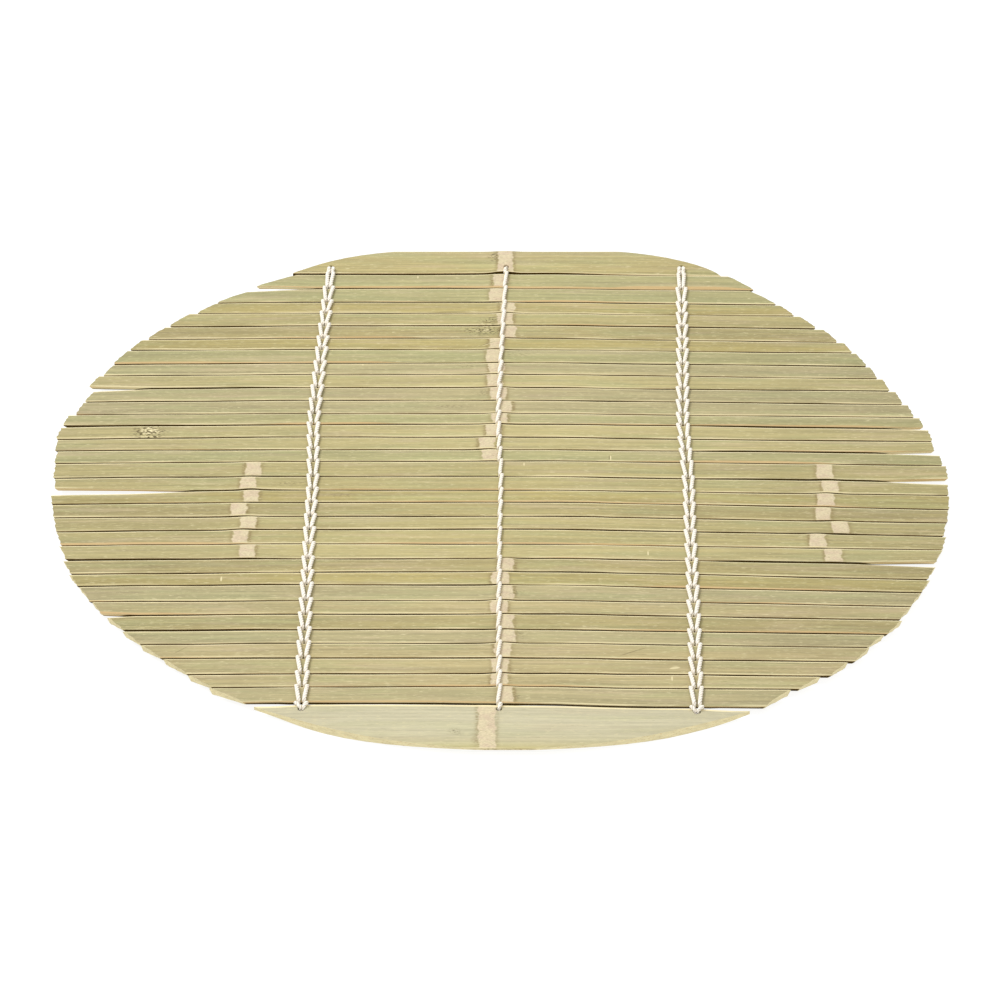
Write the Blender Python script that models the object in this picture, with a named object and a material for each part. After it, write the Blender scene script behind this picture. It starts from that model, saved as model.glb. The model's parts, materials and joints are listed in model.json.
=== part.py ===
"""Round bamboo steamer mat: slats tied side by side with cotton cord between two end slabs.

Metres, +Z up. X runs along the slats, +Y points away from the near edge, and the mat lies on z = 0
with its outline's centre at the origin. The twined cords are all that joins one slat to the next, so
each seam between two wooden pieces is a hinge about X. Wooden pieces are counted from the far edge:
0 is the far slab, 1 to 32 are the slats and 33 is the near slab. Seam n lies between pieces n and n+1.
"""

import math

import bmesh
import bpy
from mathutils import Vector

# Outline and wood
MAT_DIAMETER = 0.2410
# The slabs' straight outer edges lie this far inside the round outline
FLAT_TRIM = 0.00185
FAR_SLAB_WIDTH = 0.0125
NEAR_SLAB_WIDTH = 0.0182
SLAT_THICKNESS = 0.0018
SLAT_GAP = 0.0005
SLAT_EDGE_ROUND = 0.0009
SLAT_EDGE_DROP = 0.0003
# Slats are split from round bamboo, so they are narrower underneath, on each side by this much
SLAT_UNDERCUT = 0.0007
# Widths of the slats from the far edge to the near edge, against each other; they fill the row
SLAT_WIDTHS = (
    7.2, 7.0, 5.2, 6.0, 6.3, 5.2, 6.5, 5.4, 6.1, 6.1, 6.0, 5.0, 5.9, 5.4, 5.4, 6.8,
    6.0, 5.5, 6.0, 5.7, 6.4, 6.1, 5.9, 5.2, 6.5, 5.8, 6.2, 5.7, 5.9, 6.2, 5.5, 6.0,
)
# How far each slat's sawn end stands out from the round outline, in steps of END_STEP
END_STEP = 0.001
LEFT_END_STEPS = (
    -1.9, -0.9, -1.6, -0.2, 0.1, 0.8, 0.8, 0.2, 0.8, -0.9, -0.9, 0.8, 1.1, 0.4, -0.6, -1.0,
    -1.6, -0.8, -0.9, -0.9, -0.9, -0.5, 0.0, 0.4, 0.0, 0.5, -0.6, -0.1, 0.1, -1.0, -1.6, 0.9,
)
RIGHT_END_STEPS = (
    3.0, -1.0, -2.4, -2.9, -2.8, -2.9, -3.5, -4.1, -4.0, -3.5, -3.0, -2.3, -1.5, -2.2, -1.2, -0.5,
    -0.9, -0.8, -0.9, -1.2, -0.5, -0.5, -0.8, -0.2, -0.3, -0.2, 0.5, 0.9, 1.6, 2.4, 0.1, 1.2,
)
# Outline's sideways drift for each metre towards the far edge
OUTLINE_LEAN = -0.0157

# Seams that open towards the slats' ends: seam number and the opening there, in steps of END_STEP
LEFT_SPLAY = {1: 2.4, 9: 2.2, 12: 0.8, 17: 3.1, 22: 0.8, 27: 2.2, 32: 1.9}
RIGHT_SPLAY = {12: 1.9, 14: 2.1, 16: 2.3, 22: 2.2, 32: 1.9}
# Where that opening starts, as a share of the mat's radius; it is full at the outline
SPLAY_START = 0.45
# The seams' slight waviness: its size, and its turn from seam to seam and from break to break
SEAM_WANDER = 0.00015
SEAM_WANDER_TURN = 2.4
BREAK_WANDER_TURN = 0.9

# Far slab: flat underneath, skin side up and crowned
FAR_SLAB_EDGE = 0.0016
FAR_SLAB_CROWN = 0.00095
FAR_SLAB_SLIDE = 0.0020
FAR_SLAB_EXTRA_RADIUS = 0.0018
FAR_HOLE_INSET = 0.0025

# Near slab: flat on top, thin at both long edges, resting on a flat belly, a little below the slats
NEAR_SLAB_THICKNESS = 0.0021
NEAR_SLAB_INNER_EDGE = 0.0009
NEAR_SLAB_OUTER_EDGE = 0.0005
NEAR_SLAB_BELLY = 0.0044
NEAR_SLAB_FLANK = 0.0006
NEAR_SLAB_SLIDE = 0.0016
NEAR_SLAB_LESS_RADIUS = 0.0017
NEAR_HOLE_INSET = 0.0016

# Cord
CORD_WIDTH = 0.00105
CORD_HEIGHT = 0.0008
CORD_CLEARANCE = 0.0003
SEAM_CLEARANCE = 0.000125
STITCH_SLANT = 0.0010
HOLE_CORD_WIDTH = 0.0007
# From the middle of an outer tie's hole in the far slab to the slab's end
TIE_END_MARGIN = 0.0066
# Outer ties bow outwards by this much halfway along the mat
TIE_BOW = 0.0006
# All three ties stray sideways together: how far, in steps of END_STEP, at shares of the radius
TIE_STRAY = ((0.90, 1.8), (0.24, -0.45), (0.0, 0.3), (-0.17, 0.0), (-0.86, -0.2))
KNOT_DEPTH = 0.0024
OUTER_KNOT_LENGTH = 0.0036

# Mesh fineness
OUTLINE_SIDES = 96
HOLE_SIDES = 12
KNOT_SIDES = 10
# Where the seams' waviness bends, as shares of the mat's radius
SEAM_BREAKS = (-1.04, -0.75, -SPLAY_START, 0.0, SPLAY_START, 0.75, 1.04)
END_SPARE = 0.004
CUTTER_SPARE = 0.002

# Levels, from the surface that the mat lies on
SLAT_COUNT = len(SLAT_WIDTHS)
ROOT_PIECE = 17
RADIUS = MAT_DIAMETER / 2
SLAT_BOTTOM = CORD_HEIGHT + CORD_CLEARANCE
SLAT_TOP = SLAT_BOTTOM + SLAT_THICKNESS
AXIS_Z = SLAT_BOTTOM + SLAT_THICKNESS / 2
UNDER_Z = CORD_HEIGHT / 2
OVER_Z = SLAT_TOP + CORD_CLEARANCE + CORD_HEIGHT / 2

# The row of slats fills the outline between the two slabs
FAR_EDGE = RADIUS - FLAT_TRIM
SLATS_LENGTH = (
    2 * FAR_EDGE - FAR_SLAB_WIDTH - NEAR_SLAB_WIDTH - SLAT_GAP * (SLAT_COUNT + 1)
)
WIDTH_STEP = SLATS_LENGTH / sum(SLAT_WIDTHS)
FAR_HOLE_Y = FAR_EDGE - FAR_SLAB_WIDTH + FAR_HOLE_INSET
NEAR_HOLE_Y = -FAR_EDGE + NEAR_SLAB_WIDTH - NEAR_HOLE_INSET
FAR_SLAB_RADIUS = RADIUS + FAR_SLAB_EXTRA_RADIUS
NEAR_SLAB_RADIUS = RADIUS - NEAR_SLAB_LESS_RADIUS
TIE_SPACING = math.sqrt(FAR_SLAB_RADIUS ** 2 - FAR_HOLE_Y ** 2) - TIE_END_MARGIN

# Cord sizes that follow from the others
CROSSING_HALF_WIDTH = (STITCH_SLANT - CORD_CLEARANCE) / 2
CROSSING_HALF_THICKNESS = SLAT_GAP / 2 - SEAM_CLEARANCE
PAIR_INNER = (CORD_WIDTH + CORD_CLEARANCE) / 2
PAIR_OUTER = PAIR_INNER + STITCH_SLANT
HOLE_STEP = (HOLE_CORD_WIDTH + CORD_CLEARANCE) / 2
OUTER_HOLE_RADIUS = HOLE_STEP + HOLE_CORD_WIDTH / 2 + CORD_CLEARANCE
CENTRE_HOLE_RADIUS = HOLE_CORD_WIDTH / 2 + CORD_CLEARANCE
HOLE_CORNER = 1 / math.cos(math.pi / HOLE_SIDES)

TIES = ((-1, "left"), (0, "centre"), (1, "right"))
# Each cord: its tie, its x beside the tie's middle where it rises and where it dives, and in a hole
PAIRS = {
    "cord_left_outer": (-1, -PAIR_OUTER, -PAIR_INNER, -HOLE_STEP),
    "cord_left_inner": (-1, PAIR_OUTER, PAIR_INNER, HOLE_STEP),
    "cord_centre": (0, STITCH_SLANT / 2, -STITCH_SLANT / 2, 0.0),
    "cord_right_inner": (1, -PAIR_OUTER, -PAIR_INNER, -HOLE_STEP),
    "cord_right_outer": (1, PAIR_OUTER, PAIR_INNER, HOLE_STEP),
}


def clear_scene():
    for old in list(bpy.data.objects):
        bpy.data.objects.remove(old, do_unlink=True)


def make_material(name, colour, roughness):
    material = bpy.data.materials.new(name)
    material.use_nodes = True
    shader = material.node_tree.nodes["Principled BSDF"]
    shader.inputs["Base Color"].default_value = (*colour, 1.0)
    shader.inputs["Roughness"].default_value = roughness
    shader.inputs["Metallic"].default_value = 0.0
    material.diffuse_color = (*colour, 1.0)
    return material


def bamboo_material(name, piece):
    """Each bamboo piece differs a little from its neighbours, from straw to greenish."""
    light = 1.0 + 0.08 * math.sin(2.1 * piece)
    green = 1.0 + 0.03 * math.sin(1.3 * piece + 1.0)
    return make_material(name, (0.55 * light, 0.48 * light * green, 0.25 * light), 0.55)


def cord_material(name):
    return make_material(name, (0.86, 0.83, 0.76), 0.9)


def add_object(name, bm, material, origin=(0.0, 0.0, 0.0)):
    """Make an object from a mesh built in world coordinates, with its origin on its joint's axis."""
    bmesh.ops.recalc_face_normals(bm, faces=bm.faces[:])
    bmesh.ops.translate(bm, verts=bm.verts[:], vec=-Vector(origin))
    mesh = bpy.data.meshes.new(name)
    bm.to_mesh(mesh)
    bm.free()
    if material is not None:
        mesh.materials.append(material)
    obj = bpy.data.objects.new(name, mesh)
    obj.location = origin
    bpy.context.scene.collection.objects.link(obj)
    return obj


def add_loft(bm, rings):
    """Join rings of equally many points into one closed solid with flat caps."""
    rows = [[bm.verts.new(point) for point in ring] for ring in rings]
    count = len(rows[0])
    for row, following in zip(rows, rows[1:]):
        for n in range(count):
            m = (n + 1) % count
            bm.faces.new((row[n], row[m], following[m], following[n]))
    bm.faces.new(rows[0][::-1])
    bm.faces.new(rows[-1])


# Seams between the wooden pieces

def seam_line(seam):
    """Y of a seam's middle where it is straight."""
    slats = WIDTH_STEP * sum(SLAT_WIDTHS[:seam])
    return FAR_EDGE - FAR_SLAB_WIDTH - slats - SLAT_GAP * (seam + 0.5)


def is_slab_seam(seam):
    return seam in (0, SLAT_COUNT)


def wander_at(seam, x):
    """Sideways wander of a seam, straight between its break points and none beside a slab."""
    if is_slab_seam(seam):
        return 0.0
    values = [
        SEAM_WANDER * math.sin(SEAM_WANDER_TURN * seam + BREAK_WANDER_TURN * n)
        for n in range(len(SEAM_BREAKS))
    ]
    at = min(max(x / RADIUS, SEAM_BREAKS[0]), SEAM_BREAKS[-1])
    for n in range(len(SEAM_BREAKS) - 1):
        if at <= SEAM_BREAKS[n + 1]:
            span = SEAM_BREAKS[n + 1] - SEAM_BREAKS[n]
            share = (at - SEAM_BREAKS[n]) / span
            return values[n] + share * (values[n + 1] - values[n])
    return values[-1]


def seam_y(seam, x):
    return seam_line(seam) + wander_at(seam, x)


def splay_at(seam, x):
    """Extra opening of a seam, growing in a straight line from the outer tie to the outline."""
    full = (LEFT_SPLAY if x < 0 else RIGHT_SPLAY).get(seam, 0.0) * END_STEP
    start = RADIUS * SPLAY_START
    end = math.sqrt(RADIUS ** 2 - seam_line(seam) ** 2)
    return full * max(0.0, (abs(x) - start) / (end - start))


def edge_offset(seam, x):
    """Distance from a seam's middle to the slat beside it."""
    share = 1.0 if is_slab_seam(seam) else 0.5
    return SLAT_GAP / 2 + share * splay_at(seam, x)


def piece_origin(piece):
    """Point on the hinge axis that carries a wooden piece; the middle slat carries the rest."""
    seam = piece if piece < ROOT_PIECE else piece - 1
    if piece == ROOT_PIECE:
        seam = ROOT_PIECE - 1
    return (0.0, seam_line(seam), AXIS_Z)


# Slats

def outline_x(y, side, step):
    """X where the round outline cuts a slat at this y, on the left (-1) or right (+1)."""
    return OUTLINE_LEAN * y + side * (math.sqrt(RADIUS ** 2 - y ** 2) + END_STEP * step)


def slat_ring(slat, x=None, side=0):
    """Cross-section of a slat, either at one x or on its sawn end."""
    far_nominal = seam_line(slat - 1) - SLAT_GAP / 2
    near_nominal = seam_line(slat) + SLAT_GAP / 2
    corners = (
        (near_nominal, SLAT_UNDERCUT, SLAT_BOTTOM),
        (far_nominal, -SLAT_UNDERCUT, SLAT_BOTTOM),
        (far_nominal, 0.0, SLAT_TOP - SLAT_EDGE_DROP),
        (far_nominal, -SLAT_EDGE_ROUND, SLAT_TOP),
        (near_nominal, SLAT_EDGE_ROUND, SLAT_TOP),
        (near_nominal, 0.0, SLAT_TOP - SLAT_EDGE_DROP),
    )
    steps = LEFT_END_STEPS if side < 0 else RIGHT_END_STEPS
    ring = []
    for edge, inset, z in corners:
        at = outline_x(edge + inset, side, steps[slat - 1]) if side else x
        if edge == far_nominal:
            y = seam_y(slat - 1, at) - edge_offset(slat - 1, at)
        else:
            y = seam_y(slat, at) + edge_offset(slat, at)
        ring.append((at, y + inset, z))
    return ring


def make_slat(slat):
    left = slat_ring(slat, side=-1)
    right = slat_ring(slat, side=1)
    lowest = max(point[0] for point in left) + END_SPARE
    highest = min(point[0] for point in right) - END_SPARE
    rings = [left]
    stops = [RADIUS * share for share in SEAM_BREAKS]
    rings += [slat_ring(slat, x=stop) for stop in stops if lowest < stop < highest]
    rings.append(right)
    bm = bmesh.new()
    add_loft(bm, rings)
    name = f"slat_{slat:02d}"
    return add_object(name, bm, bamboo_material(name, slat), piece_origin(slat))


# End slabs

def tie_x(tie, y):
    """X of a tie's middle: its own bow and what all three ties stray."""
    share = y / RADIUS
    return tie * (TIE_SPACING + TIE_BOW * (1 - share ** 2)) + END_STEP * stray_at(share)


def stray_at(share):
    """Sideways stray of the ties, straight between its given places and level past them."""
    if share >= TIE_STRAY[0][0]:
        return TIE_STRAY[0][1]
    for (far, stray), (near, following) in zip(TIE_STRAY, TIE_STRAY[1:]):
        if share >= near:
            return following + (stray - following) * (share - near) / (far - near)
    return TIE_STRAY[-1][1]


def far_slab_top(inset):
    share = inset / FAR_SLAB_WIDTH
    return SLAT_BOTTOM + FAR_SLAB_EDGE + FAR_SLAB_CROWN * (1 - (2 * share - 1) ** 2)


def far_slab_profile():
    """(y, z) corners of the far slab's section."""
    inner = seam_line(0) + SLAT_GAP / 2
    shares = (0.0, 0.1, 0.25, 0.5, 0.75, 0.9, 1.0)
    top = [(inner + s * FAR_SLAB_WIDTH, far_slab_top(s * FAR_SLAB_WIDTH)) for s in shares]
    return top + [(inner + FAR_SLAB_WIDTH, SLAT_BOTTOM), (inner, SLAT_BOTTOM)]


def near_slab_profile():
    """(y, z) corners of the near slab's section, hollowed beside the knots."""
    inner = seam_line(SLAT_COUNT) - SLAT_GAP / 2
    width = NEAR_SLAB_WIDTH
    knot_end = NEAR_HOLE_INSET + KNOT_DEPTH / 2 + CORD_CLEARANCE
    belly_start = (width - NEAR_SLAB_BELLY) / 2
    belly_end = belly_start + NEAR_SLAB_BELLY
    flank = (belly_end + width) / 2
    return [
        (inner, NEAR_SLAB_THICKNESS),
        (inner, NEAR_SLAB_THICKNESS - NEAR_SLAB_INNER_EDGE),
        (inner - knot_end, CORD_HEIGHT + CORD_CLEARANCE),
        (inner - belly_start, 0.0),
        (inner - belly_end, 0.0),
        (inner - flank, NEAR_SLAB_FLANK),
        (inner - width, NEAR_SLAB_THICKNESS - NEAR_SLAB_OUTER_EDGE),
        (inner - width, NEAR_SLAB_THICKNESS),
    ]


def add_cutter(name, slab, operation, centre, radius, sides):
    """Upright round cutter and the Boolean on the slab that uses it."""
    bm = bmesh.new()
    low = -CUTTER_SPARE
    high = OVER_Z + CORD_HEIGHT + CUTTER_SPARE
    rings = []
    for z in (low, high):
        turns = [2 * math.pi * (n + 0.5) / sides for n in range(sides)]
        rings.append(
            [(centre[0] + radius * math.cos(t), centre[1] + radius * math.sin(t), z) for t in turns]
        )
    add_loft(bm, rings)
    cutter = add_object(name, bm, None)
    cutter.hide_render = True
    cutter.display_type = "WIRE"
    modifier = slab.modifiers.new(name, "BOOLEAN")
    modifier.operation = operation
    modifier.solver = "EXACT"
    modifier.object = cutter


def make_slab(name, piece, profile, slide, radius, hole_y):
    bm = bmesh.new()
    ends = (slide - radius, slide + radius)
    add_loft(bm, [[(x, y, z) for y, z in profile] for x in ends])
    slab = add_object(name, bm, bamboo_material(name, piece), piece_origin(piece))
    add_cutter(f"{name}_outline", slab, "INTERSECT", (slide, 0.0), radius, OUTLINE_SIDES)
    for tie, label in TIES:
        bore = (OUTER_HOLE_RADIUS if tie else CENTRE_HOLE_RADIUS) * HOLE_CORNER
        centre = (tie_x(tie, hole_y), hole_y)
        add_cutter(f"{name}_{label}_hole", slab, "DIFFERENCE", centre, bore, HOLE_SIDES)
    return slab


# Cords

def ring_of(x, y, z, half_width, thickness_y, thickness_z):
    """Place, half width and half thickness along (y, z) of a strand's section."""
    return ((x, y, z), half_width, (thickness_y, thickness_z))


def ring_points(ring, turned):
    """Six-sided section: two flats and a point at each side."""
    (x, y, z), half_width, (thick_y, thick_z) = ring
    flip = -1.0 if turned else 1.0
    shape = ((1.0, 0.0), (0.5, 1.0), (-0.5, 1.0), (-1.0, 0.0), (-0.5, -1.0), (0.5, -1.0))
    return [
        (x + u * half_width, y + flip * v * thick_y, z + flip * v * thick_z) for u, v in shape
    ]


def crossing(pair, seam, rising, z):
    """Mitred ring where a strand turns into or out of a seam."""
    tie, rise, dive, _ = pair
    x = tie_x(tie, seam_line(seam)) + (rise if rising else dive)
    lean = CROSSING_HALF_THICKNESS * (1 if rising else -1)
    return ring_of(x, seam_y(seam, x), z, CROSSING_HALF_WIDTH, lean, CORD_HEIGHT / 2)


def over_slat(pair, slat):
    tie, rise, dive, _ = pair
    y = (seam_line(slat - 1) + seam_line(slat)) / 2
    x = tie_x(tie, y) + (rise + dive) / 2
    return [
        crossing(pair, slat - 1, True, OVER_Z),
        ring_of(x, y, OVER_Z, CORD_WIDTH / 2, 0.0, CORD_HEIGHT / 2),
        crossing(pair, slat, False, OVER_Z),
    ]


def under_slat(pair, slat):
    return [
        crossing(pair, slat - 1, False, UNDER_Z),
        crossing(pair, slat, True, UNDER_Z),
    ]


def twined(pair, over_odd):
    """Rings of one strand over and under the slats, from the far one to the near one."""
    rings = []
    for slat in range(1, SLAT_COUNT + 1):
        goes_over = (slat % 2 == 1) == over_odd
        rings += over_slat(pair, slat) if goes_over else under_slat(pair, slat)
    return rings


def hole_ring(pair, hole_y, z, thickness_y, thickness_z):
    tie, _, _, place = pair
    x = tie_x(tie, hole_y) + place
    return ring_of(x, hole_y, z, HOLE_CORD_WIDTH / 2, thickness_y, thickness_z)


def make_cord(name, pair):
    """One cord from its knot over the near slab, up to its fold in the far slab and back under."""
    tie, _, dive, _ = pair
    half = CORD_HEIGHT / 2
    hole_half = HOLE_CORD_WIDTH / 2
    over_near = NEAR_SLAB_THICKNESS + CORD_CLEARANCE + half
    over_far = far_slab_top(FAR_HOLE_INSET) + CORD_CLEARANCE + half
    knot_top = CORD_HEIGHT + CORD_CLEARANCE
    knot_face = NEAR_HOLE_Y + KNOT_DEPTH / 2 + CORD_CLEARANCE
    knot_x = tie_x(tie, NEAR_HOLE_Y) + dive
    outward = [crossing(pair, 0, True, UNDER_Z)]
    outward += twined(pair, True)
    outward += [
        crossing(pair, SLAT_COUNT, True, OVER_Z),
        hole_ring(pair, NEAR_HOLE_Y, over_near, -hole_half, half),
        hole_ring(pair, NEAR_HOLE_Y, knot_top, -hole_half, 0.0),
    ]
    fold = [
        hole_ring(pair, FAR_HOLE_Y, UNDER_Z, -hole_half, half),
        hole_ring(pair, FAR_HOLE_Y, over_far, -hole_half, -half),
    ]
    back = [crossing(pair, 0, False, OVER_Z)]
    back += twined(pair, False)
    back += [
        crossing(pair, SLAT_COUNT, False, UNDER_Z),
        ring_of(knot_x, knot_face, UNDER_Z, CROSSING_HALF_WIDTH, 0.0, half),
    ]
    rings = [ring_points(ring, False) for ring in outward[::-1] + fold]
    rings += [ring_points(ring, True) for ring in back]
    bm = bmesh.new()
    add_loft(bm, rings)
    return add_object(name, bm, cord_material(name), piece_origin(ROOT_PIECE))


def make_knot(name, tie):
    """Pressed knot under the near slab, where a tie's cords end."""
    hole_y = NEAR_HOLE_Y
    length = OUTER_KNOT_LENGTH if tie else KNOT_DEPTH
    rings = []
    for height, share in ((0.0, 0.75), (0.5, 1.0), (1.0, 0.65)):
        turns = [2 * math.pi * n / KNOT_SIDES for n in range(KNOT_SIDES)]
        rings.append([
            (
                tie_x(tie, hole_y) + share * length / 2 * math.cos(t),
                hole_y + share * KNOT_DEPTH / 2 * math.sin(t),
                height * CORD_HEIGHT,
            )
            for t in turns
        ])
    bm = bmesh.new()
    add_loft(bm, rings)
    return add_object(name, bm, cord_material(name), piece_origin(SLAT_COUNT + 1))


def main():
    clear_scene()
    far_profile = far_slab_profile()
    make_slab("far_end_slab", 0, far_profile, FAR_SLAB_SLIDE, FAR_SLAB_RADIUS, FAR_HOLE_Y)
    for slat in range(1, SLAT_COUNT + 1):
        make_slat(slat)
    near_profile = near_slab_profile()
    last = SLAT_COUNT + 1
    make_slab("near_end_slab", last, near_profile, NEAR_SLAB_SLIDE, NEAR_SLAB_RADIUS, NEAR_HOLE_Y)
    for name, pair in PAIRS.items():
        make_cord(name, pair)
    for tie, label in TIES:
        make_knot(f"knot_{label}", tie)


main()
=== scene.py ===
"""Looks of the round bamboo steamer mat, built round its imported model.

Every size is in millimetres in the model's own frame: X along the slats, +Y towards the far edge, +Z
up, the mat lying on z = 0. Meshes are turned into metres when they are made. Wooden pieces are counted
from the far edge: 0 is the far slab, 1 to 32 the slats, 33 the near slab, and seam n lies between
pieces n and n+1.
"""

import json
import math

import bmesh
import bpy
import numpy as np
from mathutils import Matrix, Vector


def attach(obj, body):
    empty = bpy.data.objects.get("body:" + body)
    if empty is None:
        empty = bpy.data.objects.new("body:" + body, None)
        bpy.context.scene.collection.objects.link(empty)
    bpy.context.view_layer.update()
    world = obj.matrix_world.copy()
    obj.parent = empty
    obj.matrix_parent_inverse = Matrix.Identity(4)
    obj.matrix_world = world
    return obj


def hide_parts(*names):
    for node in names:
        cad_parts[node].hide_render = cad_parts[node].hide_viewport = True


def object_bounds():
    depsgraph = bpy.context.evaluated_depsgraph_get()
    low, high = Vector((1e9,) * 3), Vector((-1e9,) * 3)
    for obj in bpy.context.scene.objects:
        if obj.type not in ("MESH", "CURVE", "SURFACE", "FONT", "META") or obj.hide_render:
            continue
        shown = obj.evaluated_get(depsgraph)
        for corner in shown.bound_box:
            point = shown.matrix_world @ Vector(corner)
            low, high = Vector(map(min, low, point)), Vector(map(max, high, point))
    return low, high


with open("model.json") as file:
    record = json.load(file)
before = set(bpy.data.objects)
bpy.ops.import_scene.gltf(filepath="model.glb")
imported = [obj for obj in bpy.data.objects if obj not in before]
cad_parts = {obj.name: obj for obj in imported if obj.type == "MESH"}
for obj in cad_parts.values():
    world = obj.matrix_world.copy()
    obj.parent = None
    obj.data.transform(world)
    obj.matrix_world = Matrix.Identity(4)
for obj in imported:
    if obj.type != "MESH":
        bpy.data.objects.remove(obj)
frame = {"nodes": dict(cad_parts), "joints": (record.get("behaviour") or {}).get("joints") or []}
cad_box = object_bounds()

MM = 0.001

# Camera: the point it faces, the point it stands off from, how far and how high, and its lens
AIM = (0.05, -9.15, 2.9)
EYE_POINT = (0.05, 2.4, 2.9)
EYE_DISTANCE = 1430.0
EYE_ELEVATION = math.asin(0.5538)
PICTURE = 1000
FOCAL_PIXELS = 5348.0
SENSOR = 36.0

# Wood, as in the model
SLAT_BOTTOM = 1.1
SLAT_TOP = 2.9
SLAT_EDGE_DROP = 0.3
SLAT_UNDERCUT = 0.7
RADIUS = 120.5
FAR_SLAB_WIDTH = 12.5
FAR_SLAB_EDGE = 1.6
FAR_SLAB_CROWN = 0.95
FAR_SLAB_RADIUS = 122.3
FAR_SLAB_SLIDE = 2.0
FAR_HOLE_Y = 108.65
SLAB_GAP = 0.25
NEAR_SLAB_WIDTH = 18.2
NEAR_SLAB_TOP = 2.1
NEAR_SLAB_RADIUS = 118.8
NEAR_SLAB_SLIDE = 1.6
NEAR_HOLE_Y = -102.05
OUTER_HOLE_RADIUS = 0.95
CENTRE_HOLE_RADIUS = 0.8
HOLE_SIDES = 28
# The near slab's convex underside: distance from its inner edge and height
BELLY = (
    (0.0, 1.2), (3.1, 1.1), (6.9, 0.08), (7.6, 0.0), (10.6, 0.0), (11.8, 0.1), (14.75, 0.62),
    (18.2, 1.6),
)

# What sets each piece's grain apart from its neighbours', along it and across it
GRAIN_STEP = 331.0
ACROSS_STEP = 47.0

# Bamboo nodes: where each piece's ring lies along it, and half its width
NODES = {
    0: (1.6,), 1: (0.2,), 2: (-0.7,), 3: (2.2,), 4: (1.5,), 5: (2.4,), 6: (-0.8,), 7: (-1.6,),
    8: (-0.9,), 9: (-1.3,), 10: (-0.5,), 11: (1.3,), 12: (-0.1,), 13: (-1.6,), 14: (-3.5,),
    15: (-2.6,), 16: (-66.1, 86.9), 17: (-67.1, 88.1), 18: (-66.1, 86.7), 19: (-69.2, 85.6),
    20: (-66.4, 89.7), 21: (-68.2, 83.5), 22: (-66.2, 87.3), 23: (1.6,), 24: (0.0,), 25: (1.4,),
    26: (-0.2,), 27: (1.3,), 28: (1.7,), 29: (0.8,), 30: (0.0,), 31: (-0.1,), 32: (1.3,),
    33: (-3.2,),
}
NODE_HALF = 2.1

# Tones of the skin, and each piece's own from the far slab to the near slab
TONES = {
    "straw": (166, 154, 105),
    "yellow": (164, 150, 96),
    "green": (161, 154, 108),
    "grey": (163, 152, 111),
    "rose": (168, 154, 110),
    "olive": (158, 145, 98),
    "light": (171, 159, 110),
    "far": (168, 155, 106),
    "pale": (184, 177, 147),
}
PIECE_TONES = (
    "far", "green", "green", "yellow", "straw", "olive", "yellow", "green", "grey", "light",
    "grey", "grey", "green", "light", "light", "green", "straw", "straw", "yellow", "olive",
    "straw", "straw", "light", "olive", "yellow", "grey", "rose", "olive", "grey", "rose", "rose",
    "rose", "grey", "pale",
)
# How much darker the wood is towards its ends, in linear light
END_SHADE = 0.16

# Seams that are tight and pale, and seams that are open and dark, with less and more painted shade down
# their sides
TIGHT_SEAMS = (0, 3, 6, 7, 10, 16, 24)
DARK_SEAMS = (5, 11, 12, 14, 15, 17, 20, 22, 26, 27, 30)
# Seams that stay dark at their left end, where they fan open
SHADED_LEFT = (12, 22)
# How far a closed seam's edges may be from its middle, and from what distance on, and over how much
# more of it, their sides lose their painted shade and turn light
CLOSED_HALF = 0.4
LIT_FROM = 0.36
LIT_OVER = 0.25
# Share of a seam's half length from which it fans open, and where it differs: seam and side
FAN_START = 0.77
FAN_STARTS = {
    (1, -1): 0.7, (9, -1): 0.82, (12, -1): 0.88, (12, 1): 0.88, (14, 1): 0.82, (16, 1): 0.79,
    (17, -1): 0.62, (22, -1): 0.88, (27, -1): 2.0, (32, -1): 2.0, (32, 1): 2.0,
}
FAN_REACH = 0.21
# One more seam that opens at its left end: where from, over what length, and how far each edge moves
LEFT_FAN = (26, -92.0, 14.0, 0.95)

# Every seam's gentle bow in plan: x and y, and how far each leans down at the right of LEAN_X
BOW = ((-118.0, -0.55), (-95.0, -0.1), (-80.0, 0.0), (-60.0, 0.35), (15.0, 0.42), (30.0, 0.05))
LEAN_X = 25.0
LEAN_SLOPE = -0.0208
LEANS = (
    (0, 0.6), (4, 1.15), (8, 1.0), (15, 0.85), (18, 1.5), (20, 1.5), (21, 1.2), (24, 1.85),
    (26, 1.3), (29, 1.0), (31, 0.5), (32, 0.0),
)
# How the last seam sags instead, x and y, how far the near slab's tips droop, and its right tip's cut
SAG = ((-60.0, -0.24), (-15.0, -0.15), (15.0, -0.77), (40.0, -1.5), (60.0, -1.65), (90.0, -1.7))
TIP_DROOP = 0.9
TIP_CUT = 2.2
# How deep into each end slab its inner edge's drift reaches
NEAR_FADE = 9.0
FAR_FADE = 2.5
# Split sides: how far down and how far in their two middle rows lie, and how deep their dents are
SIDE_LEVELS = (0.33, 0.67)
SIDE_INS = (0.12, 0.6)
SIDE_DENTS = 0.07
# Sawn ends: how deep their chips are, how far their lower edge stands back, and how much further the
# far corners at the upper right reach, slat 1's besides
SLAT_CHIPS = 0.35
SLAB_CHIPS = 0.1
END_UNDERCUT = 0.8
FAR_CORNER = 1.6
FIRST_CORNER = 3.0
# Slat ends sawn shorter or longer than in the model, by piece and side: how far out the near and the
# far corner move
END_TRIMS = {
    (26, -1): (-0.5, -1.0), (28, -1): (-1.3, -1.5), (29, -1): (-1.8, -1.3), (30, -1): (-0.9, -0.9),
    (32, -1): (0.6, -1.4), (28, 1): (-1.4, -1.0), (29, 1): (-0.7, -1.4), (30, 1): (-1.6, -2.8),
    (31, 1): (-1.1, -1.4), (32, 1): (2.7, -3.8),
}
# How far inside the model's box the slats' ends stay
BOX_MARGIN = 0.05
# Which of a wooden piece's four materials a face has
TOP, LOW, SIDE, END = range(4)

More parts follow.
